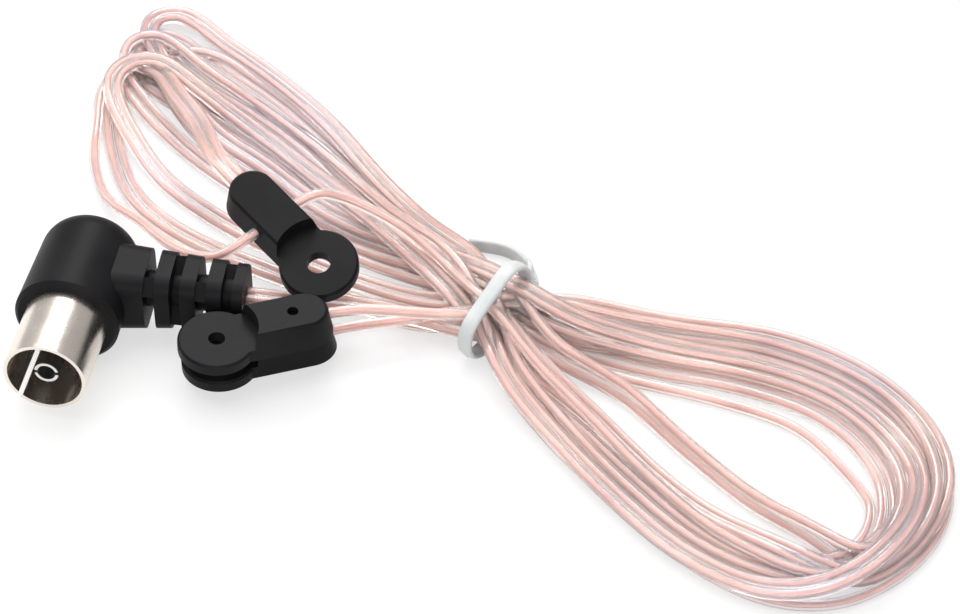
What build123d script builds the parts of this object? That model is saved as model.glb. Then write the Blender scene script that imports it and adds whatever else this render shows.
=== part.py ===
from build123d import *
import os
from math import radians, sqrt, tan

# FM indoor wire antenna, in millimetres. A clear twin lead runs from a right-angle aerial plug to a tee clip,
# where its two cores part into the arms, and each arm ends in an eyelet clip. The whole lies wound in a hank
# along X, held by a tie round its waist. Z is up, the hank lies on z = 0, and the origin is at the bottom
# centre of the box. Places on the hank are measured from the tie.
TIE_AT = (6.1, 13.25)

# Cable
CORE_D = 1.5
CORE_PITCH = 1.5
WEB_T = 0.7
COPPER_D = 0.6
WIRE_FLAT_COUNT = 10

# Plug: the socket's axis and the cable's axis cross at the elbow, a little off square
PLUG_AT = (-45.6, -30.8)
PLUG_YAW = 27.2
RELIEF_TURN = 3.3
BODY_D = 14.0
BODY_BACK_D = 13.2
BODY_LENGTH = 16.2
FACE_FROM_ELBOW = 7.7
BACK_ROUND = 4.2
FACE_EDGE = 0.5

SLEEVE_D = 10.9
SLEEVE_WALL = 0.5
SLEEVE_REACH = 10.3
SLEEVE_ROOT = 5.0
SLEEVE_SLOT = 0.7
SLEEVE_SLOT_LENGTH = 8.5
SLEEVE_SLOT_TURN = 45.0

INSULATOR_LENGTH = 4.5
INSULATOR_FROM_MOUTH = 9.4

CONTACT_D = 3.2
CONTACT_BORE = 2.4
CONTACT_FROM_MOUTH = 0.9
CONTACT_BORE_DEPTH = 9.0
CONTACT_SLIT = 0.5
CONTACT_SLIT_LENGTH = 6.0
CONTACT_TAIL_D = 1.3
CONTACT_TAIL_LENGTH = 2.2

JOINT_D = 2.4
JOINT_LENGTH = 1.5
JOINT_BEAD_D = 1.4
JOINT_SEAT = 0.25
STRIP_FROM_ELBOW = 2.6

# Strain relief: a tapered square moulding, slotted all round down to its core, with each slot bridged at two
# opposite corners and the next slot at the other two, so that it bends every way
RELIEF_ROOT = 10.0
RELIEF_END = 7.4
RELIEF_CORNER = 2.4
RELIEF_REACH = 22.2
RELIEF_CORE_D = 4.8
SLOT_FIRST = 9.2
SLOT_PITCH = 3.4
SLOT_WIDTH = 1.4
SLOT_COUNT = 4
BRIDGE_W = 2.6
BRIDGE_INSET = 0.4

# Clips: a thin eyelet disc and a raised body over the wires, with one flat back
CLIP_DISC_D = 10.2
CLIP_DISC_T = 1.6
CLIP_EYE_D = 2.2
CLIP_REACH = 15.6
CLIP_BODY_W = 7.6
CLIP_BODY_H = 3.8
CLIP_DRAFT = 12.0
CLIP_STEP = 0.35
CLIP_EDGE = 0.3
TEE_DISC_D = 10.6
TEE_EYE_D = 3.2
TEE_REACH = 17.6
CORE_PIN_D = 1.5
CORE_PIN_DEPTH = 1.1
CORE_PIN_FROM_END = 5.4
WIRE_HEIGHT = 2.0
WIRE_INSET = 3.0
WIRE_OUT = 2.4
FEEDER_OUT = 3.0
ARM_FROM_EYE = 9.0
ARM_INSET = 2.8
ARM_OUT = 2.4

# Clip places: eyelet centre on the flat back, yaw of the body, pitch up towards the body's end, roll
TEE_AT = (-21.8, -10.2, 7.6)
TEE_TURN = (169.0, 10.0, -12.0)
UPPER_AT = (-23.6, -29.0, 6.8)
UPPER_TURN = (56.0, -2.0, 3.0)
LOWER_AT = (-24.4, -27.7, 2.1)
LOWER_TURN = (54.0, 0.0, 0.0)

# Hank: two loops, each the hull of circles (x, y, radius), with their open middles
WAIST_W = 13.2
RIGHT_REACH = 66.2
RIGHT_TIP_R = 20.6
RIGHT_BAND_W = 8.8
RIGHT_OPEN_R = 5.4
LEFT_REACH = 78.4
LEFT_TIP_R = 7.4
RIGHT_LOOP = [
    (0, 0, WAIST_W / 2),
    (34.0, 3.2, 18.4),
    (RIGHT_REACH - RIGHT_TIP_R, 1.2, RIGHT_TIP_R),
]
RIGHT_OPENINGS = [[
    (21.0, 0.9, 1.6),
    (44.0, 2.4, 7.2),
    (RIGHT_REACH - RIGHT_BAND_W - RIGHT_OPEN_R, 1.9, RIGHT_OPEN_R),
]]
LEFT_LOOP = [
    (0, 0, WAIST_W / 2),
    (-64.0, 9.8, 13.0),
    (LEFT_TIP_R - LEFT_REACH, 14.6, LEFT_TIP_R),
    (-58.0, -2.2, 10.8),
    (-47.0, -6.7, 9.2),
]
LEFT_OPENINGS = [
    [(-37.0, 2.5, 1.4), (-51.0, 3.5, 3.6), (-62.0, 4.7, 4.2)],
    [(-44.0, -10.2, 2.2), (-56.0, -8.0, 2.6)],
]
LOOP_HEIGHT = 4.6
LOOP_ROUND = 1.4
WAIST_H = 8.2
WAIST_LENGTH = 40.0
WAIST_END_W = 11.0
WAIST_END_H = 5.0
TIE_GROOVE = 2.8

# Tie: a flat coated wire, closed behind the waist, with one long tail and one short
TIE_W = 2.2
TIE_T = 1.0
TIE_LONG_TAIL = [
    (0.0, 6.0, 2.4),
    (-0.1, 8.6, 1.8),
    (-2.4, 11.4, 1.2),
    (-6.0, 13.4, 1.1),
    (-9.8, 13.2, 1.1),
    (-13.2, 11.0, 1.2),
]
TIE_SHORT_TAIL = [(0.0, 6.0, 5.4), (-0.2, 8.8, 4.6), (-2.6, 10.6, 3.4)]

# Leads between the hank and the pieces, chosen point by point
FEEDER_PLUG_RUN = [
    (-22.2, -14.6, 4.7),
    (-20.4, -11.2, 3.2),
    (-16.8, -8.2, 2.4),
    (-12.2, -6.4, 2.2),
    (-7.8, -5.0, 2.6),
]
FEEDER_TEE_RUN = [
    (-45.4, -4.6, 12.4),
    (-50.4, -0.6, 10.6),
    (-56.2, 3.4, 8.0),
    (-62.6, 7.2, 5.4),
    (-69.0, 11.4, 3.4),
]
ARM_RIGHT_RUN = [(-26.4, -0.4, 11.2), (-21.4, 2.0, 9.0), (-15.6, 2.8, 7.2), (-9.6, 2.0, 5.8)]
ARM_LEFT_RUN = [(-34.0, -17.4, 7.8), (-39.2, -17.6, 6.0), (-45.0, -16.0, 4.2), (-51.0, -13.8, 3.0)]
ARM_LEFT_END_RUN = [(-9.6, -10.6, 7.4), (-5.6, -7.0, 6.4), (-1.6, -3.4, 5.6)]
ARM_RIGHT_END_RUN = [(-11.0, -9.6, 3.7), (-7.6, -5.8, 3.8), (-3.8, -2.2, 4.4)]


def on_hank(shape):
    """Moves a shape from the tie's own axes to the part's frame."""
    return Pos(*TIE_AT, 0) * shape


def smooth_path(points):
    """Straight runs joined by arcs as large as the runs allow."""
    points = [Vector(*p) for p in points]
    runs = [b - a for a, b in zip(points, points[1:])]
    radii = []
    for before, after in zip(runs, runs[1:]):
        half_turn = radians(before.get_angle(after)) / 2
        radii.append(0.45 * min(before.length, after.length) / tan(half_turn))
    return FilletPolyline(*points, radius=radii), radii


def swept(section, points, across, name):
    """Sweeps a section along a smooth path, with its long side along the vector across."""
    path, radii = smooth_path(points)
    start = Plane(origin=path @ 0, z_dir=path % 0)
    side = Vector(*across)
    side = side - start.z_dir * side.dot(start.z_dir)
    start = Plane(origin=path @ 0, x_dir=side, z_dir=path % 0)
    solid = sweep(start * section, path=path)
    share = solid.volume / (section.area * path.length)
    rounded = [round(r, 1) for r in radii]
    print(f"{name}: length {path.length:.1f}, volume share {share:.4f}, radii {rounded}")
    return solid


def single_wire():
    """One insulated core, kept plain with a few flats."""
    return Sketch() + RegularPolygon(CORE_D / 2, WIRE_FLAT_COUNT)


def twin_lead():
    """Two insulated cores side by side, joined by a web."""
    cores = [Pos(x, 0) * single_wire() for x in (-CORE_PITCH / 2, CORE_PITCH / 2)]
    return Sketch() + cores + Rectangle(CORE_PITCH, WEB_T)


# Plug, in its own axes: socket along -Y, elbow at the origin, and the cable along +X turned by CABLE
PLUG = Pos(*PLUG_AT, BODY_D / 2) * Rot(0, 0, PLUG_YAW)
CABLE = Location((0, 0, 0), (0, 0, RELIEF_TURN))
SLEEVE_BORE = SLEEVE_D - 2 * SLEEVE_WALL
FACE_Y = -FACE_FROM_ELBOW
MOUTH_Y = FACE_Y - SLEEVE_REACH
ROOT_Y = FACE_Y + SLEEVE_ROOT
INSULATOR_FRONT_Y = MOUTH_Y + INSULATOR_FROM_MOUTH
INSULATOR_BACK_Y = INSULATOR_FRONT_Y + INSULATOR_LENGTH
CONTACT_FRONT_Y = MOUTH_Y + CONTACT_FROM_MOUTH
TAIL_Y = INSULATOR_BACK_Y + CONTACT_TAIL_LENGTH


def along_socket(diameter, front, back):
    """A cylinder on the socket's axis, from front to back along Y."""
    rod = Cylinder(diameter / 2, back - front, align=(Align.CENTER, Align.CENTER, Align.MIN))
    return Pos(0, front, 0) * Rot(-90, 0, 0) * rod


def plug_body():
    back_y = FACE_Y + BODY_LENGTH
    half = Polyline((0, FACE_Y), (BODY_D / 2, FACE_Y), (BODY_BACK_D / 2, back_y), (0, back_y), close=True)
    profile = make_face(half)
    corners = profile.vertices().filter_by(lambda v: v.X > 1)
    profile = fillet(corners.sort_by(Axis.Y)[-1], BACK_ROUND)
    corners = profile.vertices().filter_by(lambda v: v.X > 1)
    profile = chamfer(corners.sort_by(Axis.Y)[0], FACE_EDGE)
    return revolve(profile, axis=Axis.Y)


def relief_side(x):
    return RELIEF_ROOT + (RELIEF_END - RELIEF_ROOT) * x / RELIEF_REACH


def strain_relief():
    def section(x):
        side = relief_side(x)
        plane = Plane(origin=(x, 0, 0), x_dir=(0, 1, 0), z_dir=(1, 0, 0))
        return plane * RectangleRounded(side, side, RELIEF_CORNER)

    solid = loft([section(0), section(RELIEF_REACH)], ruled=True)
    core = Rot(0, 90, 0) * Cylinder(RELIEF_CORE_D / 2, SLOT_WIDTH)
    for i in range(SLOT_COUNT):
        middle = SLOT_FIRST + i * SLOT_PITCH + SLOT_WIDTH / 2
        corner = sqrt(2) * (relief_side(middle) / 2 - RELIEF_CORNER) + RELIEF_CORNER
        bridge = Box(SLOT_WIDTH, BRIDGE_W, 2 * (corner - BRIDGE_INSET))
        lean = 45 if i % 2 == 0 else -45
        cut = Box(SLOT_WIDTH, RELIEF_ROOT, RELIEF_ROOT) - core - Rot(lean, 0, 0) * bridge
        solid = solid - Pos(middle, 0, 0) * cut
    return solid


def outer_sleeve():
    tube = along_socket(SLEEVE_D, MOUTH_Y, ROOT_Y) - along_socket(SLEEVE_BORE, MOUTH_Y, ROOT_Y)
    slot = Box(SLEEVE_SLOT, SLEEVE_SLOT_LENGTH, SLEEVE_D, align=(Align.CENTER, Align.MIN, Align.MAX))
    return tube - Rot(0, SLEEVE_SLOT_TURN, 0) * Pos(0, MOUTH_Y, 0) * slot


def centre_contact():
    barrel = along_socket(CONTACT_D, CONTACT_FRONT_Y, INSULATOR_BACK_Y)
    bore = along_socket(CONTACT_BORE, CONTACT_FRONT_Y, CONTACT_FRONT_Y + CONTACT_BORE_DEPTH)
    tail = along_socket(CONTACT_TAIL_D, INSULATOR_BACK_Y, TAIL_Y)
    slit = Box(CONTACT_D, CONTACT_SLIT_LENGTH, CONTACT_SLIT)
    slit = Pos(0, CONTACT_FRONT_Y + CONTACT_SLIT_LENGTH / 2, 0) * slit
    return barrel - bore - slit + tail


def plug_insulator():
    disc = along_socket(SLEEVE_BORE, INSULATOR_FRONT_Y, INSULATOR_BACK_Y)
    return disc - along_socket(CONTACT_D, INSULATOR_FRONT_Y, INSULATOR_BACK_Y)


def straight_core(start, end):
    """A bare copper core from one point to another."""
    run = Vector(*end) - Vector(*start)
    plane = Plane(origin=start, z_dir=run)
    return extrude(plane * Circle(COPPER_D / 2), amount=run.length)


# Clips, in their own axes: eyelet at the origin, body along +X, flat back at z = 0
def clip_blank(disc_d, eye_d, reach):
    """An eyelet disc and a raised, drafted body on one flat back."""
    body_length = reach + CLIP_BODY_W / 2
    outline = Pos(reach - body_length / 2, 0) * SlotOverall(body_length, CLIP_BODY_W)
    body = extrude(outline, amount=CLIP_BODY_H, taper=CLIP_DRAFT)
    body = chamfer(body.faces().sort_by(Axis.Z)[-1].edges(), CLIP_EDGE)
    flat_room = Pos(0, 0, CLIP_DISC_T) * Cylinder(
        disc_d / 2 + CLIP_STEP, CLIP_BODY_H, align=(Align.CENTER, Align.CENTER, Align.MIN)
    )
    disc = Cylinder(disc_d / 2, CLIP_DISC_T, align=(Align.CENTER, Align.CENTER, Align.MIN))
    disc = chamfer(disc.edges().sort_by(Axis.Z)[-1], CLIP_EDGE)
    eye = Cylinder(eye_d / 2, 2 * CLIP_DISC_T)
    return body - flat_room + disc - eye


def end_clip():
    """The clip of an arm's end, with the mark of the mould's core pin in its body."""
    pin_hole = Pos(CLIP_REACH - CORE_PIN_FROM_END, 0, CLIP_BODY_H - CORE_PIN_DEPTH) * Cylinder(
        CORE_PIN_D / 2, CORE_PIN_DEPTH, align=(Align.CENTER, Align.CENTER, Align.MIN)
    )
    return clip_blank(CLIP_DISC_D, CLIP_EYE_D, CLIP_REACH) - pin_hole


def turned(at, turn):
    """A clip's place from its eyelet, yaw, pitch of the body's end upwards, and roll."""
    yaw, pitch, roll = turn
    return Pos(*at) * Rot(0, 0, yaw) * Rot(0, -pitch, 0) * Rot(roll, 0, 0)


TEE = turned(TEE_AT, TEE_TURN)
UPPER = turned(UPPER_AT, UPPER_TURN)
LOWER = turned(LOWER_AT, LOWER_TURN)


def place_of(location, point):
    """Where a point in a piece's own axes lies on the hank."""
    return tuple((location * Pos(*point)).position)


def direction_of(location, axis):
    """Which way one of a piece's own axes points."""
    return tuple((location * Pos(*axis)).position - location.position)


# Hank
def hull_of(circles):
    return make_hull([edge for x, y, r in circles for edge in (Pos(x, y) * Circle(r)).edges()])


def waist_section(x, width, height, bottom):
    """A flat-sided oval across the hank at x."""
    plane = Plane(origin=(x, 0, bottom + height / 2), x_dir=(0, 1, 0), z_dir=(1, 0, 0))
    return plane * SlotOverall(width, height)


def waist_side(side):
    """One half of the waist, thick at the tie and sinking into the loop."""
    tie_x = side * TIE_GROOVE / 2
    thick = waist_section(tie_x, WAIST_W, WAIST_H, TIE_T)
    thin = waist_section(side * WAIST_LENGTH / 2, WAIST_END_W, WAIST_END_H, 0)
    return loft([thick, thin], ruled=True)


def waist_neck():
    """The bundle in the tie's groove."""
    return extrude(waist_section(-TIE_GROOVE / 2, WAIST_W, WAIST_H, TIE_T), amount=TIE_GROOVE)


def cable_hank():
    outline = hull_of(RIGHT_LOOP) + hull_of(LEFT_LOOP)
    for opening in RIGHT_OPENINGS + LEFT_OPENINGS:
        outline = outline - hull_of(opening)
    loops = extrude(outline, amount=LOOP_HEIGHT)
    loops = chamfer(loops.faces().sort_by(Axis.Z)[-1].edges(), LOOP_ROUND)
    groove = Box(TIE_GROOVE, 4 * WAIST_W, 4 * WAIST_H)
    return loops - groove + waist_neck() + waist_side(1) + waist_side(-1)


def hank_tie():
    band_section = waist_section(-TIE_W / 2, WAIST_W + 2 * TIE_T, WAIST_H + 2 * TIE_T, 0)
    band = extrude(band_section, amount=TIE_W)
    ribbon = Rectangle(TIE_W, TIE_T)
    for name, tail in (("tie long tail", TIE_LONG_TAIL), ("tie short tail", TIE_SHORT_TAIL)):
        band = band + swept(ribbon, tail, (1, 0, 0), name)
    return band - waist_neck()


# Pieces
def plug_pieces():
    """The plug's own pieces, with the cores soldered inside it, in the plug's axes."""
    sleeve = outer_sleeve()
    insulator = plug_insulator()
    contact = centre_contact()
    strip = STRIP_FROM_ELBOW
    strip_plane = Plane(origin=(strip, 0, 0), x_dir=(0, 1, 0), z_dir=(1, 0, 0))
    moulded_end = CABLE * extrude(strip_plane * twin_lead(), amount=RELIEF_REACH - strip)
    beside_tail = (CONTACT_TAIL_D + COPPER_D) / 2
    wall_y = (INSULATOR_BACK_Y + ROOT_Y) / 2
    bead_z = (JOINT_BEAD_D - SLEEVE_BORE) / 2 - JOINT_SEAT
    tail_end = (beside_tail, TAIL_Y - JOINT_LENGTH / 2, 0)
    signal_start, screen_start = [place_of(CABLE, (strip, side * CORE_PITCH / 2, 0)) for side in (-1, 1)]
    signal = straight_core(signal_start, tail_end) - moulded_end
    screen = straight_core(screen_start, (0, wall_y, bead_z)) - moulded_end - contact
    bead = along_socket(JOINT_D, TAIL_Y - JOINT_LENGTH, TAIL_Y)
    contact_joint = Pos(COPPER_D / 2, 0, 0) * bead - contact - signal - screen
    wall_bead = Pos(0, 0, bead_z) * along_socket(JOINT_BEAD_D, INSULATOR_BACK_Y, ROOT_Y)
    sleeve_joint = wall_bead - sleeve - insulator - screen
    inner = {
        "outer_sleeve": sleeve,
        "plug_insulator": insulator,
        "centre_contact": contact,
        "signal_core": signal,
        "screen_core": screen,
        "contact_joint": contact_joint,
        "sleeve_joint": sleeve_joint,
        "feeder_moulded_end": moulded_end,
    }
    open_socket = along_socket(SLEEVE_BORE, MOUTH_Y, INSULATOR_FRONT_Y)
    moulding = plug_body() + CABLE * strain_relief() - open_socket
    for piece in inner.values():
        moulding = moulding - piece
    return {"plug_moulding": moulding, **inner}


def outside(lead, hank, start):
    """The stretch of a lead from its start up to the hank's surface."""
    return (lead - hank).solids().sort_by_distance(start)[0]


def build():
    hank = cable_hank()
    parts = {node: PLUG * piece for node, piece in plug_pieces().items()}

    outlet = PLUG * CABLE
    relief_end = place_of(outlet, (RELIEF_REACH, 0, 0))
    free_start = place_of(outlet, (RELIEF_REACH + FEEDER_OUT, 0, 0))
    plug_run = [relief_end, free_start] + FEEDER_PLUG_RUN
    plug_lead = swept(twin_lead(), plug_run, direction_of(outlet, (0, 1, 0)), "feeder_plug_lead")
    parts["feeder_plug_lead"] = outside(plug_lead, hank, relief_end)

    arm_out = CLIP_BODY_W / 2 + ARM_OUT
    arm_in = CLIP_BODY_W / 2 - ARM_INSET
    across = (0, 1, 0)
    along = (1, 0, 0)
    tee_inlet = [(TEE_REACH + x, 0, WIRE_HEIGHT) for x in (-WIRE_INSET, WIRE_OUT)]
    end_inlet = [(CLIP_REACH + x, 0, WIRE_HEIGHT) for x in (-WIRE_INSET, WIRE_OUT)]
    arm_right = [(ARM_FROM_EYE, -y, WIRE_HEIGHT) for y in (arm_in, arm_out)]
    arm_left = [(ARM_FROM_EYE, y, WIRE_HEIGHT) for y in (arm_in, arm_out)]
    clips = {
        "tee_clip": (TEE, clip_blank(TEE_DISC_D, TEE_EYE_D, TEE_REACH)),
        "end_clip_upper": (UPPER, end_clip()),
        "end_clip_lower": (LOWER, end_clip()),
    }
    leads = {
        "feeder_tee_lead": ("tee_clip", tee_inlet, FEEDER_TEE_RUN, twin_lead(), across),
        "arm_right_lead": ("tee_clip", arm_right, ARM_RIGHT_RUN, single_wire(), along),
        "arm_left_lead": ("tee_clip", arm_left, ARM_LEFT_RUN, single_wire(), along),
        "arm_left_end": ("end_clip_upper", end_inlet, ARM_LEFT_END_RUN, single_wire(), across),
        "arm_right_end": ("end_clip_lower", end_inlet, ARM_RIGHT_END_RUN, single_wire(), across),
    }
    for clip_node, (place, blank) in clips.items():
        parts[clip_node] = place * blank
    for node, (clip_node, inlet, run, section, side) in leads.items():
        place = clips[clip_node][0]
        points = [place_of(place, point) for point in inlet] + run
        lead = swept(section, points, direction_of(place, side), node)
        parts[clip_node] = parts[clip_node] - lead
        parts[node] = outside(lead, hank, points[0])

    parts["cable_hank"] = hank
    parts["hank_tie"] = hank_tie()
    return parts


os.makedirs("parts", exist_ok=True)
for node, shape in build().items():
    export_step(on_hank(shape), f"parts/{node}.step")
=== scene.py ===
import math

import bpy
import numpy as np
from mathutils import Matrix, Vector


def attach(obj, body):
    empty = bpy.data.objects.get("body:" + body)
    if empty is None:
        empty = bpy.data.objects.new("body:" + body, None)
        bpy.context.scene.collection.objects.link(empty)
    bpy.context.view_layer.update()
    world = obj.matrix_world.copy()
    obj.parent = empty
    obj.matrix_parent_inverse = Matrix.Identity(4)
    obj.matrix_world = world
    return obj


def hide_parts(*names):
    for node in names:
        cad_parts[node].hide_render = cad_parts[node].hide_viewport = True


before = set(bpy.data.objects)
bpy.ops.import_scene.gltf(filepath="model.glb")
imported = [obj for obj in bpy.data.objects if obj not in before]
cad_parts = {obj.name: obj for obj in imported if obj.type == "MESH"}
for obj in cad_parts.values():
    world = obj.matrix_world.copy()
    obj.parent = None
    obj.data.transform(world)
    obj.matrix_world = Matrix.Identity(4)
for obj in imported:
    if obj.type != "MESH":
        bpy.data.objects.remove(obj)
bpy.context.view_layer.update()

# Units: the hank is laid out in millimetres from the tie, as the part's own routes are
MM = 0.001
TIE_AT = np.array([6.1, 13.25, 0.0])
TINY = 1e-9

# Wire
CORE_D = 1.5
WEB_T = 0.7
COPPER_D = 0.5

# Tie: a strip with a low ridge over its wire, tilted with the flattened bundle that it holds
TIE_W = 2.2
TIE_T = 1.0
STRIP_HALF_T = 0.4
RIDGE_HALF_W = 0.3
RIDGE_SIDE_H = 0.44
RIDGE_TOP_H = 0.52
WAIST_W = 12.6
WAIST_H = 6.4
TIE_TILT = math.radians(24.0)
TIE_SHIFT = -0.5
FLAT_HALF = (WAIST_W - WAIST_H) / 2
TIE_Z = TIE_T + WAIST_H / 2 + FLAT_HALF * math.sin(TIE_TILT)
TIE_MIDDLE = np.array([0.0, TIE_SHIFT, TIE_Z])
TIE_ACROSS = np.array([0.0, math.cos(TIE_TILT), math.sin(TIE_TILT)])
TIE_UP = np.array([0.0, -math.sin(TIE_TILT), math.cos(TIE_TILT)])
TIE_LONG_TAIL = [
    (0.0, 5.8, 5.2),
    (0.0, 7.6, 3.4),
    (-0.1, 8.8, 1.9),
    (-2.4, 11.4, 1.2),
    (-6.0, 13.4, 1.1),
    (-9.8, 13.2, 1.1),
    (-13.2, 11.0, 1.2),
]
TIE_SHORT_TAIL = [(0.0, 5.8, 6.2), (-0.2, 8.4, 5.2), (-2.6, 10.4, 3.8)]

# Leads, from inside a moulding to where they join the hank, or back
FEEDER_FROM_PLUG = [
    (-26.47, -19.53, 7.0),
    (-23.89, -18.01, 7.0),
    (-22.2, -14.6, 4.7),
    (-20.4, -11.2, 3.2),
    (-16.8, -8.2, 2.4),
    (-12.2, -6.4, 2.2),
    (-7.8, -5.0, 2.6),
]
FEEDER_TO_TEE = [
    (-73.4, 11.2, 2.6),
    (-69.0, 11.4, 3.4),
    (-62.6, 7.2, 5.4),
    (-56.2, 3.4, 8.0),
    (-50.4, -0.6, 10.6),
    (-45.4, -4.6, 12.4),
    (-40.88, -6.91, 13.0),
    (-35.66, -7.93, 12.06),
]
RIGHT_FROM_TEE = [
    (-30.03, -8.03, 11.3),
    (-28.87, -3.07, 12.36),
    (-26.4, -0.4, 11.2),
    (-21.4, 2.0, 9.0),
    (-15.6, 2.8, 7.2),
    (-9.6, 2.0, 5.8),
]
RIGHT_TO_CLIP = [
    (-3.8, -2.2, 4.4),
    (-7.6, -5.8, 3.8),
    (-11.0, -9.6, 3.7),
    (-13.82, -13.14, 4.1),
    (-16.99, -17.51, 4.1),
]
LEFT_FROM_TEE = [
    (-30.47, -9.94, 10.89),
    (-31.63, -14.89, 9.82),
    (-34.0, -17.4, 7.8),
    (-39.2, -17.6, 6.0),
    (-45.0, -16.0, 4.2),
    (-51.0, -13.8, 3.0),
]
LEFT_OUTSIDE = [(-58.5, -12.8, 1.6), (-66.0, -7.0, 0.9), (-71.0, -0.6, 0.9)]
LEFT_TO_CLIP = [
    (-1.6, -3.4, 5.6),
    (-5.6, -7.0, 6.4),
    (-9.6, -10.6, 7.4),
    (-13.41, -14.09, 8.17),
    (-16.42, -18.57, 8.36),
]

# Bands of the hank: the place of the innermost and of the outermost strand at each station
RIGHT_BAND = [
    ((9.0, 1.0), (8.0, -7.2)),
    ((20.0, 1.4), (19.0, -11.6)),
    ((32.0, -1.8), (31.0, -15.4)),
    ((44.0, -4.4), (43.0, -17.7)),
    ((53.0, -2.8), (54.5, -17.0)),
    ((58.4, 0.6), (61.6, -11.6)),
    ((56.8, 4.2), (64.4, 0.0)),
    ((52.8, 7.0), (61.8, 11.2)),
    ((47.5, 9.0), (54.8, 18.4)),
    ((41.0, 9.8), (44.0, 22.2)),
    ((30.0, 7.2), (31.0, 21.0)),
    ((19.0, 3.4), (18.5, 14.8)),
    ((8.0, 0.8), (7.5, 8.6)),
]
# Where those stations lie: 0 is on the lower band, 1 at the tip and 2 on the upper band
LOWER_TIP_UPPER = [0, 1, 2]
RIGHT_STATIONS = [0.0, 0.0, 0.0, 0.0, 0.15, 0.55, 0.9, 1.15, 1.5, 1.85, 2.0, 2.0, 2.0]
LEFT_LOWER_BAND = [
    ((-9.0, -0.6), (-9.0, -6.4)),
    ((-20.0, -2.6), (-20.0, -9.6)),
    ((-33.0, -4.4), (-33.0, -12.6)),
    ((-46.0, -4.4), (-46.0, -14.8)),
    ((-57.0, -2.6), (-57.5, -12.4)),
]
LEFT_UPPER_BAND = [
    ((-62.0, 10.2), (-67.0, 23.0)),
    ((-54.0, 10.2), (-55.0, 21.0)),
    ((-43.0, 9.2), (-43.0, 17.8)),
    ((-32.0, 6.8), (-31.0, 13.4)),
    ((-20.0, 3.8), (-19.0, 9.4)),
    ((-9.0, 1.2), (-9.0, 6.8)),
]
LEFT_TIP = ((-73.5, 4.0), (-79.6, 21.8))
LEFT_TIP_R = 4.0
LEFT_TIP_TURN = math.radians(65.0)
LEFT_TIP_BULGE = 1.5
WAIST_TOP_Z = 6.8
WAIST_BOTTOM_Z = 3.2
WAIST_REACH_Y = 5.0

# Turns: a place in the right loop and one in the left loop, each as (upper, tip, lower, height).
# A place of 0 is innermost and 1 outermost. A lower place under 0 runs back beneath the upper band.
# A loop of None is passed over, and one whose lower place is None has no lower band.
FEEDER_TURNS = [
    ((0.34, 0.38, 0.85, 1.2), (0.95, 0.95, -1.00, 3.6)),
    ((0.58, 0.78, 0.98, 5.4), (0.65, 0.80, -1.25, 1.0)),
    ((0.50, 0.54, 0.66, 2.0), (0.08, 0.20, 0.10, 5.2)),
    ((0.80, 0.95, 0.00, 3.2), (0.15, 0.15, 0.62, 0.9)),
    ((0.95, 1.00, 0.52, 3.8), (0.45, 0.60, None, 2.9)),
]
ARM_RIGHT_TURNS = [
    ((0.88, 0.90, 0.62, 4.2), (0.30, 0.40, -0.50, 2.4)),
    ((0.00, -0.15, 0.72, 0.8), (1.00, 1.00, -0.90, 1.8)),
    ((0.72, 0.85, 0.02, 5.0), None),
]
ARM_LEFT_TURNS = [
    (None, (0.80, 0.25, None, 3.3)),
    ((0.36, 0.50, 0.78, 3.4), (0.50, 0.55, -0.60, 4.4)),
    ((1.00, 1.00, 1.00, 2.6), None),
]

# Settling of the strands: spacing of points and samples, then what moves them in each round
POINT_STEP = 3.6
CURVE_STEPS = 12
SAMPLES_PER_SPAN = 3
SETTLE_ROUNDS = 260
PAIR_REFRESH = 8
NEAR_PAIR = 2.6
BESIDE_SPANS = 2
PAIR_BLOCK = 800
SINK = 0.04
SINK_FROM_TIE = 14.0
GUIDE_PULL = 0.02
EVEN_OUT = 0.4
TWIN_EVEN = 0.5
TWIN_EVEN_PASSES = 3
TWIN_FLAT = 0.12
TOUCH = 1.02 * CORE_D
MOST_MOVE = 0.6
PUSH_GAIN = 1.2
LEAST_SHARE = 0.35
TIE_HOLD = 2.8
TIE_SLACK = 0.1
TIE_ROOM = WAIST_H / 2 - CORE_D / 2 - TIE_SLACK
TIE_GRIP = 2.0

# Tee clip, which the strands pass beneath: its place, its axes and its extent along them
TEE_AT = np.array([-21.8, -10.2, 7.6])
TEE_X = np.array([-0.967, 0.188, 0.174])
TEE_Y = np.array([-0.222, -0.953, -0.205])
TEE_Z = np.array([0.127, -0.237, 0.963])
TEE_FROM = -6.5
TEE_TO = 19.0
TEE_HALF_W = 6.0
TEE_H = 4.0
TEE_CLEAR = 0.9
TEE_MOST_PUSH = 1.0

# Facets of the meshes
LINE_STEPS = 4
TAIL_STEPS = 8
JACKET_SIDES = 16
TWIN_CORE_SIDES = 12
COPPER_SIDES = 8
STRIP_EDGE_SIDES = 6
TIE_END_STEPS = 17

# Finishes: tints at their stops, and the range of roughness
JACKET_TINTS = [(0.32, (1.00, 0.86, 0.83)), (0.50, (1.00, 0.91, 0.88)), (0.66, (0.96, 0.92, 0.96))]
JACKET_ROUGH = (0.03, 0.10)
JACKET_IOR = 1.5
JACKET_CLEAR = 0.8
COPPER_TINTS = [(0.34, (0.70, 0.35, 0.30)), (0.52, (0.90, 0.54, 0.47)), (0.68, (0.98, 0.70, 0.63))]
COPPER_ROUGH = (0.28, 0.45)
COPPER_METALLIC = 0.5
COPPER_LAY = 0.6
BLACK_TINTS = [(0.35, (0.007, 0.007, 0.008)), (0.70, (0.012, 0.012, 0.013))]
BLACK_ROUGH = (0.38, 0.52)
BLACK_SPECULAR = 0.09
NICKEL_TINTS = [(0.3, (0.80, 0.72, 0.64)), (0.7, (0.88, 0.80, 0.73))]
NICKEL_ROUGH = (0.20, 0.32)
TIN_TINTS = [(0.3, (0.68, 0.67, 0.65)), (0.7, (0.78, 0.77, 0.75))]
TIN_ROUGH = (0.16, 0.30)
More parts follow.
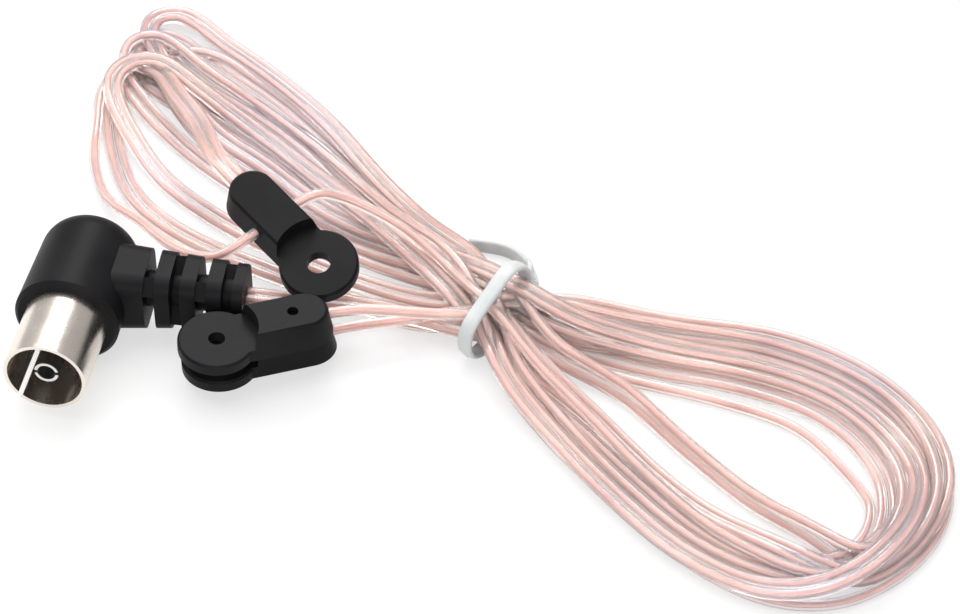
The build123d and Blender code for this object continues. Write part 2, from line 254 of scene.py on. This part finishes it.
BARE_COPPER_TINTS = [(0.3, (0.75, 0.40, 0.30)), (0.7, (0.85, 0.50, 0.38))]
BARE_COPPER_ROUGH = (0.2, 0.35)
SOLDER_TINTS = [(0.3, (0.55, 0.55, 0.54)), (0.7, (0.68, 0.68, 0.67))]
SOLDER_ROUGH = (0.25, 0.45)
TIE_TINTS = [(0.3, (0.50, 0.52, 0.52)), (0.7, (0.60, 0.61, 0.61))]
TIE_ROUGH = (0.35, 0.5)
INSULATOR_TINTS = [(0.3, (0.03, 0.03, 0.03)), (0.7, (0.05, 0.05, 0.05))]
INSULATOR_ROUGH = (0.4, 0.55)

# Studio, in metres and watts. Each lamp has its name, place, size and power.
FLOOR_REACH = 3.0
FLOOR_COLOUR = (0.86, 0.86, 0.86, 1.0)
FLOOR_ROUGH = 0.9
FLOOR_GLOW = 0.62
WORLD_COLOUR = (1.0, 1.0, 1.0, 1.0)
WORLD_LIGHT = 0.45
WORLD_SEEN = 1.1
SOFTBOXES = [
    ("overhead", (-0.15, 0.10, 0.62), (0.7, 0.7), 4.1),
    ("sparkle", (-0.26, 0.34, 0.42), (0.22, 0.12), 1.0),
    ("front_fill", (0.45, -0.55, 0.40), (0.5, 0.4), 2.2),
    ("left_edge", (-0.60, -0.15, 0.30), (0.3, 0.5), 1.4),
]

# Camera, in millimetres and degrees
LOOK_AT = (0.8, 16.45, 0.0)
CAMERA_AZIMUTH = 37.4
CAMERA_ELEVATION = 44.0
CAMERA_DISTANCE = 430.0
LENS = 120.1
SENSOR = 36.0


# Winding
def between(pair, share):
    """The place that is a share of the way from the inner to the outer one."""
    inner = np.array(pair[0])
    outer = np.array(pair[1])
    return inner + (outer - inner) * share


def right_loop(places):
    """Lower band, tip and upper band, as points."""
    upper, tip, lower, height = places
    shares = np.interp(RIGHT_STATIONS, LOWER_TIP_UPPER, [lower, tip, upper])
    return [(*between(pair, share), height) for pair, share in zip(RIGHT_BAND, shares)]


def left_tip(upper_y, place, height):
    """Three points round the left tip, from the lower strand to the upper one."""
    x, y = between(LEFT_TIP, place)
    back = LEFT_TIP_R * (1 - math.cos(LEFT_TIP_TURN))
    rise = LEFT_TIP_R * math.sin(LEFT_TIP_TURN)
    y = min(y, upper_y + LEFT_TIP_BULGE - rise)
    after_y = max(y + rise, (upper_y + y) / 2 + LEFT_TIP_BULGE)
    return [(x + back, y - rise, height), (x, y, height), (x + back, after_y, height)]


def left_loop(places):
    """Lower band, tip and upper band, as points. Without a lower place it starts at the tip."""
    upper, tip, lower, height = places
    top = [(*between(pair, upper), height) for pair in LEFT_UPPER_BAND]
    upper_y = top[0][1]
    if lower is None:
        return left_tip(upper_y, tip, height)[1:] + top
    bottom = [(*between(pair, lower), height) for pair in LEFT_LOWER_BAND]
    return bottom + left_tip(upper_y, tip, height) + top


def waist(point_a, point_b, height):
    """The point in the tie between two points on either side of it."""
    y = np.clip((point_a[1] + point_b[1]) / 2, -WAIST_REACH_Y, WAIST_REACH_Y)
    return (0.0, y, height)


def wound(turns, start, backwards):
    """The points of a cord's turns. Backwards means that each loop is run upper band first."""
    loops = []
    for right, left in turns:
        if right:
            loops.append(("right", right_loop(right)))
        if left:
            loops.append(("left", left_loop(left)))
    route = []
    last = start
    for side, points in loops:
        if backwards:
            points = points[::-1]
        # the way between the left loop's lower band and the right loop's upper band is the low one
        low_way = (side == "right") == backwards
        crosses = (last[0] < 0) == (side == "right")
        if crosses:
            route.append(waist(last, points[0], WAIST_BOTTOM_Z if low_way else WAIST_TOP_Z))
        route += points
        last = points[-1]
    return route


def lengths(line):
    """The lengths of a line's steps."""
    return np.linalg.norm(np.diff(line, axis=0), axis=1)


def run_along(line):
    """How far each point of a line is from its start, along the line."""
    return np.concatenate([[0], np.cumsum(lengths(line))])


def spaced(points):
    """Points at even steps on a smooth curve through the given ones."""
    given = np.array(points)
    ends = np.vstack([2 * given[0] - given[1], given, 2 * given[-1] - given[-2]])
    curve = []
    for a, b, c, d in zip(ends, ends[1:], ends[2:], ends[3:]):
        before, span, after = [math.sqrt(np.linalg.norm(step)) for step in (b - a, c - b, d - c)]
        leave = (c - b) + span * ((b - a) / before - (c - a) / (before + span))
        reach = (c - b) + span * ((d - c) / after - (d - b) / (span + after))
        for t in np.linspace(0, 1, CURVE_STEPS, endpoint=False):
            cubic = (2 * (b - c) + leave + reach) * t ** 3
            square = (3 * (c - b) - 2 * leave - reach) * t ** 2
            curve.append(b + leave * t + square + cubic)
    curve = np.array(curve + [given[-1]])
    along = run_along(curve)
    stops = np.linspace(0, along[-1], round(along[-1] / POINT_STEP) + 1)
    return np.column_stack([np.interp(stops, along, curve[:, k]) for k in range(3)])


class Strand:
    """A cord's points before they settle, and which of them are free to."""

    def __init__(self, lead_in, turns, lead_out, backwards=False, finish_at_tip=False):
        route = wound(turns, lead_in[-1], backwards)
        if not finish_at_tip:
            route.append(waist(route[-1], lead_out[0], WAIST_BOTTOM_Z))
        coil = spaced([lead_in[-1], *route, lead_out[0]])[1:-1]
        self.points = np.vstack([lead_in, coil, lead_out])
        self.free = np.ones(len(self.points), bool)
        self.free[:len(lead_in)] = False
        self.free[-len(lead_out):] = False


# Settling
def unit(vectors):
    return vectors / (np.linalg.norm(vectors, axis=1)[:, None] + TINY)


def side_of(points):
    """Unit vectors level and square to a line of points."""
    return unit(np.cross(np.gradient(points, axis=0), (0, 0, 1)))


class Samples:
    """Places along the strands' curves, each weighed between three points in a row."""

    def __init__(self, lines, cord_of, starts):
        spans = []
        for line, cord, start in zip(lines, cord_of, starts):
            for i in range(len(line) - 2):
                for k in range(SAMPLES_PER_SPAN):
                    spans.append((start + i, k / SAMPLES_PER_SPAN, cord, i * SAMPLES_PER_SPAN + k))
        first, t, self.cord, self.place = [np.array(column) for column in zip(*spans)]
        self.corner = first[:, None] + np.arange(3)
        self.weight = np.stack([(1 - t) ** 2 / 2, (1 + 2 * t - 2 * t * t) / 2, t * t / 2], 1)

    def where(self, x):
        return (x[self.corner] * self.weight[:, :, None]).sum(1)

    def near_pairs(self, s):
        """Pairs of samples that may come to touch, apart from neighbours along one cord."""
        found = []
        small = s.astype(np.float32)
        for first in range(0, len(s), PAIR_BLOCK):
            block = small[first:first + PAIR_BLOCK]
            square = ((block[:, None, :] - small[None, :, :]) ** 2).sum(2)
            a, b = np.nonzero(square < NEAR_PAIR ** 2)
            a = a + first
            apart = np.abs(self.place[a] - self.place[b])
            beside = (self.cord[a] == self.cord[b]) & (apart < BESIDE_SPANS * SAMPLES_PER_SPAN)
            found.append(np.stack([a, b], 1)[(a < b) & ~beside])
        return np.concatenate(found).T

    def point_moves(self, move, hits, count):
        """How far the points go when the samples are pushed."""
        move = move / np.sqrt(np.maximum(hits, 1))[:, None]
        corner = self.corner.ravel()
        shared = np.bincount(corner, (self.weight * (hits > 0)[:, None]).ravel(), count)
        steps = [np.bincount(corner, (self.weight * move[:, k, None]).ravel(), count) for k in range(3)]
        steps = PUSH_GAIN * np.stack(steps, 1) / np.maximum(shared, LEAST_SHARE)[:, None]
        return np.clip(steps, -MOST_MOVE, MOST_MOVE)


def push_apart(s, a, b):
    """How far strands that meet push each other away, and how often each sample is pushed."""
    gap = s[a] - s[b]
    far = np.linalg.norm(gap, axis=1) + TINY
    lack = np.clip(TOUCH - far, 0, None)
    push = gap * (lack / far / 2)[:, None]
    move = np.zeros_like(s)
    for k in range(3):
        move[:, k] = np.bincount(a, push[:, k], len(s)) - np.bincount(b, push[:, k], len(s))
    hits = np.bincount(a, lack > 0, len(s)) + np.bincount(b, lack > 0, len(s))
    return move, hits


def push_from_floor(s):
    """How far the floor lifts the samples, and which of them."""
    under = np.clip(CORE_D / 2 - s[:, 2], 0, None)
    return under[:, None] * (0, 0, 1), under > 0


def push_into_tie(s):
    """How far the tie presses the samples inwards, and which of them."""
    across = np.clip((s - TIE_MIDDLE) @ TIE_ACROSS, -FLAT_HALF, FLAT_HALF)
    away = (s - TIE_MIDDLE - across[:, None] * TIE_ACROSS) * (0, 1, 1)
    radius = np.linalg.norm(away, axis=1) + TINY
    outside = (np.abs(s[:, 0]) < TIE_HOLD) & (radius > TIE_ROOM)
    return -TIE_GRIP * away * (outside * (1 - TIE_ROOM / radius))[:, None], outside


def push_under_tee(s, loose):
    """How far the tee clip presses the loose samples beneath it, and which of them."""
    seen = s - TEE_AT
    u = seen @ TEE_X
    w = seen @ TEE_Z
    beneath = loose & (u > TEE_FROM) & (u < TEE_TO) & (np.abs(seen @ TEE_Y) < TEE_HALF_W)
    beneath &= (w > -TEE_CLEAR) & (w < TEE_H)
    return -TEE_Z * (beneath * np.clip(w + TEE_CLEAR, 0, TEE_MOST_PUSH))[:, None], beneath


def draw_down(x, guide, moving):
    """Draws the points down and towards the layout, and evens out how far they are from it."""
    x[moving, :2] += GUIDE_PULL * (guide[moving, :2] - x[moving, :2])
    x[moving, 2] -= SINK * np.clip(np.abs(x[moving, 0]) / SINK_FROM_TIE, 0, 1)
    off = x - guide
    x[moving] += EVEN_OUT * ((off[moving - 1] + off[moving + 1]) / 2 - off[moving])


def twin_apart(core_a, core_b):
    """Which way the twin lead's second core lies from its first, evened out and drawn to level."""
    level = side_of((core_a + core_b) / 2)
    apart = unit(core_b - core_a)
    level *= np.sign((level * apart).sum(1).mean())
    for _ in range(TWIN_EVEN_PASSES):
        apart[1:-1] += TWIN_EVEN * (apart[:-2] + apart[2:])
        apart = unit(apart)
    return unit(apart + TWIN_FLAT * level)


def keep_twin(x, twin_a, twin_b, free):
    """Keeps the twin lead's two cores side by side."""
    apart = twin_apart(x[twin_a], x[twin_b])
    middle = (x[twin_a] + x[twin_b]) / 2
    x[twin_a[free]] = (middle - apart * CORE_D / 2)[free]
    x[twin_b[free]] = (middle + apart * CORE_D / 2)[free]


def settle(feeder, arms):
    """Lays the strands down so that they rest on the floor and on each other."""
    half = side_of(feeder.points) * CORE_D / 2
    lines = [feeder.points + half, feeder.points - half] + [arm.points for arm in arms]
    cord_of = [0, 0] + [k + 1 for k in range(len(arms))]
    starts = np.cumsum([0] + [len(line) for line in lines])
    x = np.vstack(lines)
    guide = x * (1, 1, 0)
    free = np.concatenate([cord.free for cord in [feeder, feeder] + arms])
    moving = np.nonzero(free)[0]
    twin_a = np.arange(starts[0], starts[1])
    twin_b = np.arange(starts[1], starts[2])
    samples = Samples(lines, cord_of, starts)
    loose = free[samples.corner].all(1)

    for turn in range(SETTLE_ROUNDS):
        draw_down(x, guide, moving)
        keep_twin(x, twin_a, twin_b, feeder.free)
        s = samples.where(x)
        if turn % PAIR_REFRESH == 0:
            pairs = samples.near_pairs(s)
        move, hits = push_apart(s, *pairs)
        for more, touched in (push_from_floor(s), push_into_tie(s), push_under_tee(s, loose)):
            move += more
            hits = hits + touched
        x[free] += samples.point_moves(move, hits, len(x))[free]
        x[free, 2] = np.maximum(x[free, 2], CORE_D / 2)
    return [x[first:last] for first, last in zip(starts, starts[1:])]


# Meshes along a line
def in_frame(points):
    """Points from the tie in millimetres, as metres in the part's frame."""
    return (np.asarray(points) + TIE_AT) * MM


def nurbs_line(name, points, steps=LINE_STEPS):
    """Points read from a smooth curve that has the given ones as its control points."""
    curve = bpy.data.curves.new(name, "CURVE")
    curve.dimensions = "3D"
    curve.resolution_u = steps
    spline = curve.splines.new("NURBS")
    spline.points.add(len(points) - 1)
    for control, point in zip(spline.points, in_frame(points)):
        control.co = (*point, 1.0)
    spline.order_u = 3
    spline.use_endpoint_u = True
    holder = bpy.data.objects.new(name, curve)
    line = bpy.data.meshes.new_from_object(holder)
    read = np.array([v.co for v in line.vertices])
    bpy.data.objects.remove(holder)
    bpy.data.curves.remove(curve)
    bpy.data.meshes.remove(line)
    return read


def untwisted_sides(line):
    """Unit vectors square to the line that turn with it without twisting, level at its start."""
    ahead = unit(np.gradient(line, axis=0))
    side = np.cross(ahead[0], (0, 0, 1))
    sides = []
    for direction in ahead:
        side = side - direction * (side @ direction)
        side = side / np.linalg.norm(side)
        sides.append(side)
    return np.array(sides)


class Tubes:
    """Faces of one mesh, made of tubes with a section each."""

    def __init__(self):
        self.vertices = []
        self.faces = []
        self.places = []
        self.slots = []

    def add(self, line, sides, section, slot=0, closed=False):
        """Section points are (along the side, along the upright), in millimetres."""
        upright = unit(np.cross(sides, np.gradient(line, axis=0)))
        run = run_along(line)
        first = len(self.vertices)
        count = len(section)
        for centre, side, up in zip(line, sides, upright):
            for across, high in section:
                self.vertices.append(centre + (side * across + up * high) * MM)
        rings = len(line)
        for i in range(rings if closed else rings - 1):
            low = first + i * count
            high = first + (i + 1) % rings * count
            far = run[i + 1] if i + 1 < rings else 2 * run[i] - run[i - 1]
            for j in range(count):
                k = (j + 1) % count
                corners = (low + j, high + j, high + k, low + k)
                self.add_face(corners, [(run[i], j), (far, j), (far, j + 1), (run[i], j + 1)], slot)
        if not closed:
            for ring, order in ((0, 1), (rings - 1, -1)):
                rim = [first + ring * count + j for j in range(count)][::order]
                self.add_face(rim, [(run[ring], j) for j in range(count)], slot)

    def add_face(self, corners, places, slot):
        self.faces.append(tuple(corners))
        self.places.append(places)
        self.slots.append(slot)

    def build(self, name, materials):
        mesh = bpy.data.meshes.new(name)
        mesh.from_pydata(self.vertices, [], self.faces)
        for material in materials:
            mesh.materials.append(material)
        mesh.polygons.foreach_set("material_index", self.slots)
        mesh.polygons.foreach_set("use_smooth", [True] * len(self.faces))
        layer = mesh.uv_layers.new(name="along")
        flat = [value for face in self.places for place in face for value in place]
        layer.data.foreach_set("uv", flat)
        mesh.update()
        piece = bpy.data.objects.new(name, mesh)
        bpy.context.scene.collection.objects.link(piece)
        return piece


def ring_section(diameter, count, centre=0.0):
    """A round section whose middle lies to the side by the given amount."""
    turn = np.arange(count) * 2 * math.pi / count
    return [(centre + diameter / 2 * math.cos(a), diameter / 2 * math.sin(a)) for a in turn]


def with_opposite(half):
    """A section's half, and the same half turned round to the other side."""
    return half + [(-across, -high) for across, high in half]


def twin_section():
    """Two round cores joined by a web."""
    waist_angle = math.asin(WEB_T / CORE_D)
    turn = np.linspace(-math.pi + waist_angle, math.pi - waist_angle, TWIN_CORE_SIDES)
    return with_opposite([(CORE_D / 2 * (1 + math.cos(a)), CORE_D / 2 * math.sin(a)) for a in turn])


def strip_section():
    """A flat strip with round edges and a low ridge over its wire on both faces."""
    edge = TIE_T / 2
    flat = TIE_W / 2 - edge
    turn = np.linspace(-math.pi / 2, math.pi / 2, STRIP_EDGE_SIDES)
    right = [(flat + edge * math.cos(a), STRIP_HALF_T * math.sin(a)) for a in turn]
    ridge = [(RIDGE_HALF_W, RIDGE_SIDE_H), (0.0, RIDGE_TOP_H), (-RIDGE_HALF_W, RIDGE_SIDE_H)]
    return with_opposite(right + ridge)


# Materials
def add_node(tree, kind, values=(), links=()):
    """A new node, with its inputs set to values or linked to outputs."""
    node = tree.nodes.new("ShaderNode" + kind)
    for name, value in dict(values).items():
        node.inputs[name].default_value = value
    for name, output in dict(links).items():
        tree.links.new(output, node.inputs[name])
    return node


def add_math(tree, operation, output, other):
    """What an operation makes of an output and another one, or a number."""
    if isinstance(other, float):
        node = add_node(tree, "Math", {1: other}, {0: output})
    else:
        node = add_node(tree, "Math", links={0: output, 1: other})
    node.operation = operation
    return node.outputs[0]


class Finish:
    """A material, and the nodes that vary its shader over the surface."""

    def __init__(self, name):
        self.material = bpy.data.materials.new(name)
        self.material.use_nodes = True
        self.tree = self.material.node_tree
        self.shader = self.tree.nodes["Principled BSDF"]

    def drive(self, name, output):
        self.tree.links.new(output, self.shader.inputs[name])

    def set(self, name, value):
        self.shader.inputs[name].default_value = value

    def mapped(self, space, stretch, turn=0.0):
        place = add_node(self.tree, "TexCoord").outputs[space]
        values = {"Scale": stretch, "Rotation": (0.0, 0.0, turn)}
        return add_node(self.tree, "Mapping", values, {"Vector": place}).outputs["Vector"]

    def noise(self, space, scale, detail=3.0, stretch=(1.0, 1.0, 1.0)):
        values = {"Scale": scale, "Detail": detail}
        vector = self.mapped(space, stretch)
        return add_node(self.tree, "TexNoise", values, {"Vector": vector}).outputs["Fac"]

    def tint(self, value, tints):
        ramp = add_node(self.tree, "ValToRGB", links={"Fac": value})
        elements = ramp.color_ramp.elements
        for at, _ in tints[len(elements):]:
            elements.new(at)
        for element, (at, colour) in zip(elements, tints):
            element.position = at
            element.color = (*colour, 1.0)
        self.drive("Base Color", ramp.outputs["Color"])

    def roughen(self, value, span):
        values = {"To Min": span[0], "To Max": span[1]}
        spread = add_node(self.tree, "MapRange", values, {"Value": value})
        self.drive("Roughness", spread.outputs["Result"])

    def bump(self, value, strength, distance):
        values = {"Strength": strength, "Distance": distance}
        relief = add_node(self.tree, "Bump", values, {"Height": value})
        self.drive("Normal", relief.outputs["Normal"])


def clear_jacket():
    finish = Finish("clear_pvc_jacket")
    finish.tint(finish.noise("Object", scale=22.0, detail=2.0), JACKET_TINTS)
    drawn = finish.noise("UV", scale=1.0, stretch=(60.0, 0.9, 1.0))
    finish.roughen(drawn, JACKET_ROUGH)
    finish.bump(drawn, strength=0.05, distance=0.02 * MM)
    finish.set("IOR", JACKET_IOR)
    finish.set("Transmission Weight", JACKET_CLEAR)
    return finish.material


def copper_strand():
    finish = Finish("stranded_copper")
    finish.tint(finish.noise("Object", scale=70.0), COPPER_TINTS)
    lay = finish.mapped("UV", stretch=(900.0, 1.0, 1.0), turn=COPPER_LAY)
    wires = add_node(finish.tree, "TexWave", {"Scale": 1.2}, {"Vector": lay}).outputs["Fac"]
    finish.roughen(wires, COPPER_ROUGH)
    finish.bump(wires, strength=0.5, distance=0.08 * MM)
    finish.set("Metallic", COPPER_METALLIC)
    return finish.material


def black_moulding():
    finish = Finish("black_moulded_pvc")
    patches = finish.noise("Object", scale=120.0, detail=4.0)
    finish.tint(patches, BLACK_TINTS)
    finish.roughen(patches, BLACK_ROUGH)
    finish.bump(finish.noise("Object", scale=2600.0), strength=0.25, distance=0.06 * MM)
    finish.set("Specular IOR Level", BLACK_SPECULAR)
    return finish.material


def plated(name, tints, rough):
    finish = Finish(name)
    finish.tint(finish.noise("Object", scale=140.0), tints)
    drawn = finish.noise("Object", scale=400.0, detail=4.0, stretch=(1.0, 1.0, 8.0))
    finish.roughen(drawn, rough)
    finish.bump(drawn, strength=0.05, distance=0.02 * MM)
    finish.set("Metallic", 1.0)
    return finish.material


def dull_plastic(name, tints, rough):
    finish = Finish(name)
    cloud = finish.noise("Object", scale=300.0, detail=4.0)
    finish.tint(cloud, tints)
    finish.roughen(cloud, rough)
    finish.bump(cloud, strength=0.1, distance=0.04 * MM)
    return finish.material


# Pieces
def dress(piece, slot, *nodes):
    """Puts a piece on the part's one body and hides the nodes that it stands for. Its slot is not used.
    """
    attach(piece, "root")
    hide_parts(*nodes)


def make_feeder(core_a, core_b, materials):
    """The twin lead with its two coppers as one piece, and its middle line."""
    line = nurbs_line("feeder_route", (core_a + core_b) / 2)
    sides = nurbs_line("feeder_core_route", core_a) - line
    ahead = unit(np.gradient(line, axis=0))
    sides = unit(sides - ahead * (sides * ahead).sum(1)[:, None])
    tubes = Tubes()
    tubes.add(line, sides, twin_section())
    for centre in (-CORE_D / 2, CORE_D / 2):
        tubes.add(line, sides, ring_section(COPPER_D, COPPER_SIDES, centre), slot=1)
    return tubes.build("feeder_lead", materials), line


def make_arm(name, points, materials):
    """An arm's wire with its copper as one piece, and its middle line."""
    line = nurbs_line(name + "_route", points)
    sides = untwisted_sides(line)
    tubes = Tubes()
    tubes.add(line, sides, ring_section(CORE_D, JACKET_SIDES))
    tubes.add(line, sides, ring_section(COPPER_D, COPPER_SIDES), slot=1)
    return tubes.build(name, materials), line


def tie_ring():
    """The middle line of the strip round the waist, as an oval."""
    radius = (WAIST_H + TIE_T) / 2
    line = []
    for end in (1, -1):
        for turn in np.linspace(-math.pi / 2, math.pi / 2, TIE_END_STEPS):
            across = end * (FLAT_HALF + radius * math.cos(turn))
            line.append(TIE_MIDDLE + across * TIE_ACROSS + end * radius * math.sin(turn) * TIE_UP)
    return line


def make_tie(material):
    """The ring, with two tails that leave it flat and then stand on their edge."""
    along_x = (1.0, 0.0, 0.0)
    tubes = Tubes()
    ring = in_frame(tie_ring())
    tubes.add(ring, np.tile(along_x, (len(ring), 1)), strip_section(), closed=True)
    for name, tail in (("tie_long_tail", TIE_LONG_TAIL), ("tie_short_tail", TIE_SHORT_TAIL)):
        line = nurbs_line(name, tail, TAIL_STEPS)
        ahead = np.gradient(line, axis=0)
        level = np.cross(ahead, (0.0, 0.0, 1.0))
        sides = np.cross(level, ahead)
        sides[0] = along_x
        tubes.add(line, unit(sides), strip_section())
    return tubes.build("tie_strap", [material])


feeder = Strand(FEEDER_FROM_PLUG, FEEDER_TURNS, FEEDER_TO_TEE, backwards=True, finish_at_tip=True)
arm_right = Strand(RIGHT_FROM_TEE, ARM_RIGHT_TURNS, RIGHT_TO_CLIP)
arm_left = Strand(LEFT_FROM_TEE + LEFT_OUTSIDE, ARM_LEFT_TURNS, LEFT_TO_CLIP)
core_a, core_b, right_points, left_points = settle(feeder, [arm_right, arm_left])

cable = [clear_jacket(), copper_strand()]
feeder_lead, feeder_line = make_feeder(core_a, core_b, cable)
right_lead, right_line = make_arm("arm_right_wire", right_points, cable)
left_lead, left_line = make_arm("arm_left_wire", left_points, cable)
tie_strap = make_tie(dull_plastic("white_soft_pvc", TIE_TINTS, TIE_ROUGH))

dress(feeder_lead, "clear_cable", "cable_hank", "feeder_plug_lead", "feeder_tee_lead")
dress(right_lead, "clear_cable", "arm_right_lead", "arm_right_end")
dress(left_lead, "clear_cable", "arm_left_lead", "arm_left_end")
dress(tie_strap, "white_tie", "hank_tie")

black = black_moulding()
bare_copper = plated("bare_copper", BARE_COPPER_TINTS, BARE_COPPER_ROUGH)
solder = plated("solder", SOLDER_TINTS, SOLDER_ROUGH)
finishes = {
    "plug_moulding": black,
    "tee_clip": black,
    "end_clip_upper": black,
    "end_clip_lower": black,
    "outer_sleeve": plated("nickel_plate", NICKEL_TINTS, NICKEL_ROUGH),
    "centre_contact": plated("tin_plate", TIN_TINTS, TIN_ROUGH),
    "plug_insulator": dull_plastic("dark_insulator", INSULATOR_TINTS, INSULATOR_ROUGH),
    "signal_core": bare_copper,
    "screen_core": bare_copper,
    "contact_joint": solder,
    "sleeve_joint": solder,
    "feeder_moulded_end": cable[0],
}
for node, material in finishes.items():
    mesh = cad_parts[node].data
    mesh.materials.clear()
    mesh.materials.append(material)


# Stage
def seen_share(tree, rays, share):
    """A value that is the given share for these kinds of ray, and 0 for the others."""
    path = add_node(tree, "LightPath")
    value = path.outputs[rays[0]]
    for name in rays[1:]:
        value = add_math(tree, "MAXIMUM", value, path.outputs[name])
    return add_math(tree, "MULTIPLY", value, share)


def make_floor():
    mesh = bpy.data.meshes.new("studio_floor")
    corners = [(-1, -1), (1, -1), (1, 1), (-1, 1)]
    mesh.from_pydata([(FLOOR_REACH * x, FLOOR_REACH * y, 0) for x, y in corners], [], [(0, 1, 2, 3)])
    floor = bpy.data.objects.new("studio_floor", mesh)
    bpy.context.scene.collection.objects.link(floor)
    finish = Finish("studio_white")
    finish.set("Base Color", FLOOR_COLOUR)
    finish.set("Roughness", FLOOR_ROUGH)
    tree = finish.tree
    glow = add_node(tree, "Emission").outputs[0]
    share = seen_share(tree, ("Is Camera Ray", "Is Glossy Ray", "Is Transmission Ray"), FLOOR_GLOW)
    mix = add_node(tree, "MixShader", links={"Fac": share, 1: finish.shader.outputs[0], 2: glow})
    tree.links.new(mix.outputs[0], tree.nodes["Material Output"].inputs["Surface"])
    mesh.materials.append(finish.material)


def make_world():
    world = bpy.data.worlds.new("studio_world")
    world.use_nodes = True
    tree = world.node_tree
    background = tree.nodes["Background"]
    background.inputs["Color"].default_value = WORLD_COLOUR
    seen_more = seen_share(tree, ("Is Transmission Ray",), WORLD_SEEN - WORLD_LIGHT)
    strength = add_math(tree, "ADD", seen_more, WORLD_LIGHT)
    tree.links.new(strength, background.inputs["Strength"])
    bpy.context.scene.world = world


def add_softbox(name, place, size, power):
    """A soft rectangular lamp that is aimed at the origin."""
    light = bpy.data.lights.new(name, "AREA")
    light.shape = "RECTANGLE"
    light.size = size[0]
    light.size_y = size[1]
    light.energy = power
    lamp = bpy.data.objects.new(name, light)
    lamp.location = place
    lamp.rotation_euler = (-Vector(place)).to_track_quat("-Z", "Y").to_euler()
    bpy.context.scene.collection.objects.link(lamp)


def add_camera():
    azimuth = math.radians(CAMERA_AZIMUTH)
    elevation = math.radians(CAMERA_ELEVATION)
    back = Vector((
        math.sin(azimuth) * math.cos(elevation),
        -math.cos(azimuth) * math.cos(elevation),
        math.sin(elevation),
    ))
    data = bpy.data.cameras.new("photo_camera")
    data.lens = LENS
    data.sensor_width = SENSOR
    camera = bpy.data.objects.new("photo_camera", data)
    camera.location = (Vector(LOOK_AT) + back * CAMERA_DISTANCE) * MM
    camera.rotation_euler = back.to_track_quat("Z", "Y").to_euler()
    bpy.context.scene.collection.objects.link(camera)
    bpy.context.scene.camera = camera


make_floor()
make_world()
for name, place, size, power in SOFTBOXES:
    add_softbox(name, place, size, power)
bpy.context.scene.view_settings.view_transform = "Standard"
add_camera()
